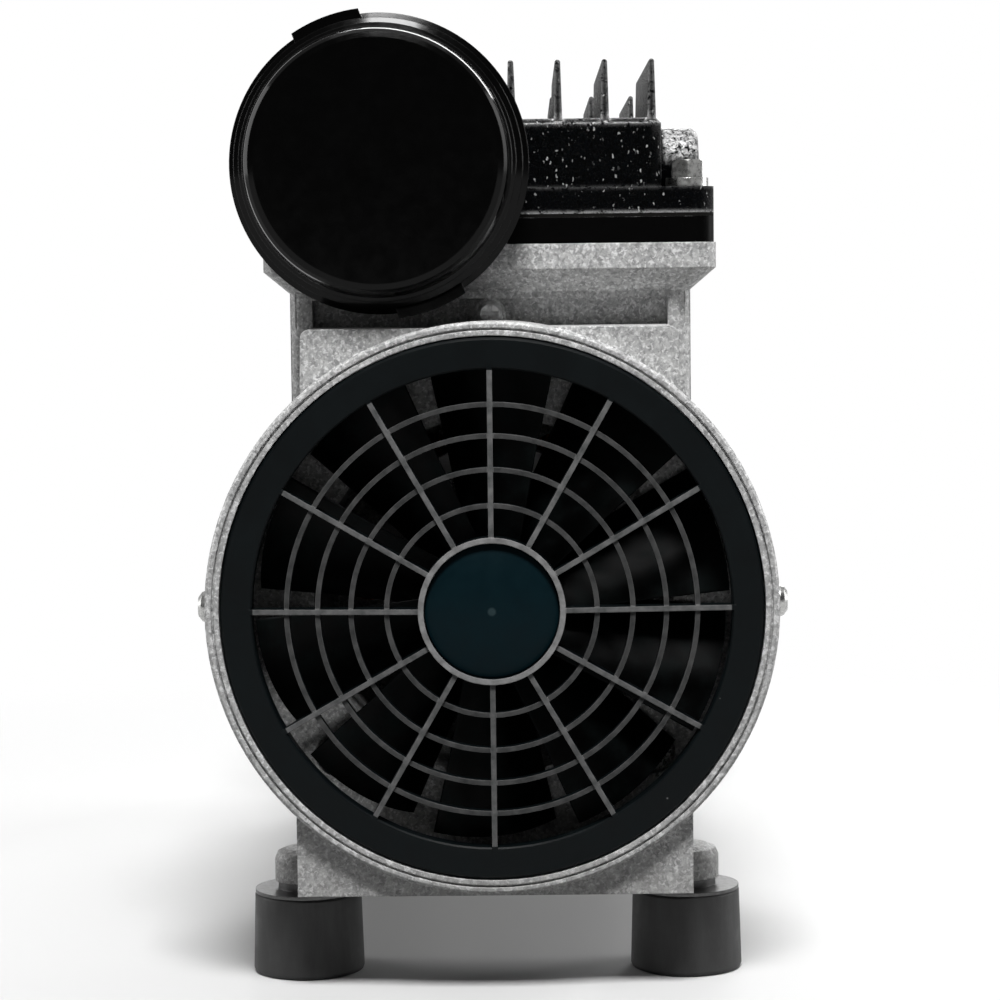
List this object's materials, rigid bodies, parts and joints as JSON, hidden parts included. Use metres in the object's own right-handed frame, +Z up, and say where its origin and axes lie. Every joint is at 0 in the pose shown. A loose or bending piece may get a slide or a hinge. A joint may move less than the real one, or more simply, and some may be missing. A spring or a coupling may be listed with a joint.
{
  "type": "oil-free air compressor",
  "caption": "Oil-free rocking-piston air compressor with twin finned cylinder heads, an intake filter, round fan grilles and rubber feet.",
  "frame": {"origin": "on the floor plane, below the middle of the shaft, midway between the feet", "axes": "+Z up; +Y along the shaft from the filter end to the plain end; +X to the right when facing the filter end"},
  "size_m": [0.1342, 0.271, 0.2228],
  "materials": {
    "cast_aluminium": "as-cast, grained, slightly sparkling",
    "black_casting": "black coating over a rough casting",
    "black_plate": "smooth satin black",
    "black_plastic": "moulded, fine grain, satin",
    "cap_plastic": "moulded, smooth, dark blue-black",
    "gloss_black_plastic": "moulded, polished",
    "fan_plastic": "moulded, satin",
    "black_rubber": "moulded, matt",
    "zinc_steel": "bright zinc plated",
    "ground_steel": "ground",
    "bearing_steel": "ground and polished",
    "spring_steel": "tempered strip",
    "anodised_aluminium": "machined",
    "drawn_tube": "drawn, satin",
    "laminations": "stacked sheet edges, dark varnish",
    "enamelled_wire": "varnished copper wire",
    "gasket": "pressed fibre sheet",
    "filter_felt": "pleated felt",
    "cup_polymer": "filled fluoropolymer"
  },
  "bodies": {
    "housing": {"rear_crankcase": "cast_aluminium", "front_crankcase": "cast_aluminium", "stator_core": "laminations", "stator_windings": "enamelled_wire", "main_bearings": "bearing_steel", "tie_bolts": "zinc_steel", "tie_nuts": "zinc_steel", "lead_grommet": "black_rubber", "rear_right_foot": "black_rubber", "rear_left_foot": "black_rubber", "front_right_foot": "black_rubber", "front_left_foot": "black_rubber", "foot_studs": "zinc_steel", "foot_inserts": "zinc_steel", "front_cylinder_sleeve": "anodised_aluminium", "rear_cylinder_sleeve": "anodised_aluminium", "front_valve_plate": "black_plate", "rear_valve_plate": "black_plate", "front_fan_cover": "black_plastic", "rear_fan_cover": "black_plastic", "hub_caps": "cap_plastic", "front_cylinder_head": "black_casting", "rear_cylinder_head": "black_casting", "cylinder_seals": "black_rubber", "intake_reeds": "spring_steel", "exhaust_reeds": "spring_steel", "reed_stops": "spring_steel", "reed_screws": "zinc_steel", "head_gaskets": "gasket", "head_bolts": "zinc_steel", "head_washers": "zinc_steel", "intake_transfer_tube": "drawn_tube", "exhaust_transfer_tube": "drawn_tube", "tube_seals": "black_rubber", "filter_base": "gloss_black_plastic", "filter_element": "filter_felt", "neck_screws": "zinc_steel", "cover_screws": "zinc_steel"},
    "filter_cap": {"filter_cap": "gloss_black_plastic"},
    "rotor": {"shaft": "ground_steel", "rotor_core": "laminations", "rotor_end_rings": "anodised_aluminium", "fan_clips": "spring_steel", "eccentric_set_screws": "zinc_steel", "front_eccentric": "ground_steel", "rear_eccentric": "ground_steel", "front_fan": "fan_plastic", "rear_fan": "fan_plastic"},
    "front_crank_bush": {"front_crank_bush": "ground_steel"},
    "front_piston": {"front_big_end_bearing": "bearing_steel", "front_connecting_rod": "anodised_aluminium", "front_cup_seal": "cup_polymer", "front_cup_retainer": "anodised_aluminium", "front_retainer_screw": "zinc_steel"},
    "rear_crank_bush": {"rear_crank_bush": "ground_steel"},
    "rear_piston": {"rear_big_end_bearing": "bearing_steel", "rear_connecting_rod": "anodised_aluminium", "rear_cup_seal": "cup_polymer", "rear_cup_retainer": "anodised_aluminium", "rear_retainer_screw": "zinc_steel"}
  },
  "joints": [
    {"name": "shaft_spin", "type": "hinge", "parent": "housing", "child": "rotor", "pos_m": [0, 0, 0.088], "axis": [0, 1, 0], "continuous": true},
    {"name": "front_bush_turn", "type": "hinge", "parent": "rotor", "child": "front_crank_bush", "pos_m": [0, -0.0655, 0.091], "axis": [0, 1, 0], "continuous": true},
    {"name": "front_rod_turn", "type": "hinge", "parent": "front_crank_bush", "child": "front_piston", "pos_m": [0, -0.0655, 0.094], "axis": [0, 1, 0], "continuous": true},
    {"name": "rear_bush_turn", "type": "hinge", "parent": "rotor", "child": "rear_crank_bush", "pos_m": [0, 0.0655, 0.085], "axis": [0, 1, 0], "continuous": true},
    {"name": "rear_rod_turn", "type": "hinge", "parent": "rear_crank_bush", "child": "rear_piston", "pos_m": [0, 0.0655, 0.082], "axis": [0, 1, 0], "continuous": true},
    {"name": "filter_cap_pull", "type": "slide", "parent": "housing", "child": "filter_cap", "axis": [0, -1, 0], "range_m": [0, 0.03]}
  ],
  "couplings": [
    {"joint": "front_bush_turn", "follows": "shaft_spin", "ratio": -2},
    {"joint": "front_rod_turn", "follows": "shaft_spin", "ratio": 1},
    {"joint": "rear_bush_turn", "follows": "shaft_spin", "ratio": -2},
    {"joint": "rear_rod_turn", "follows": "shaft_spin", "ratio": 1}
  ]
}
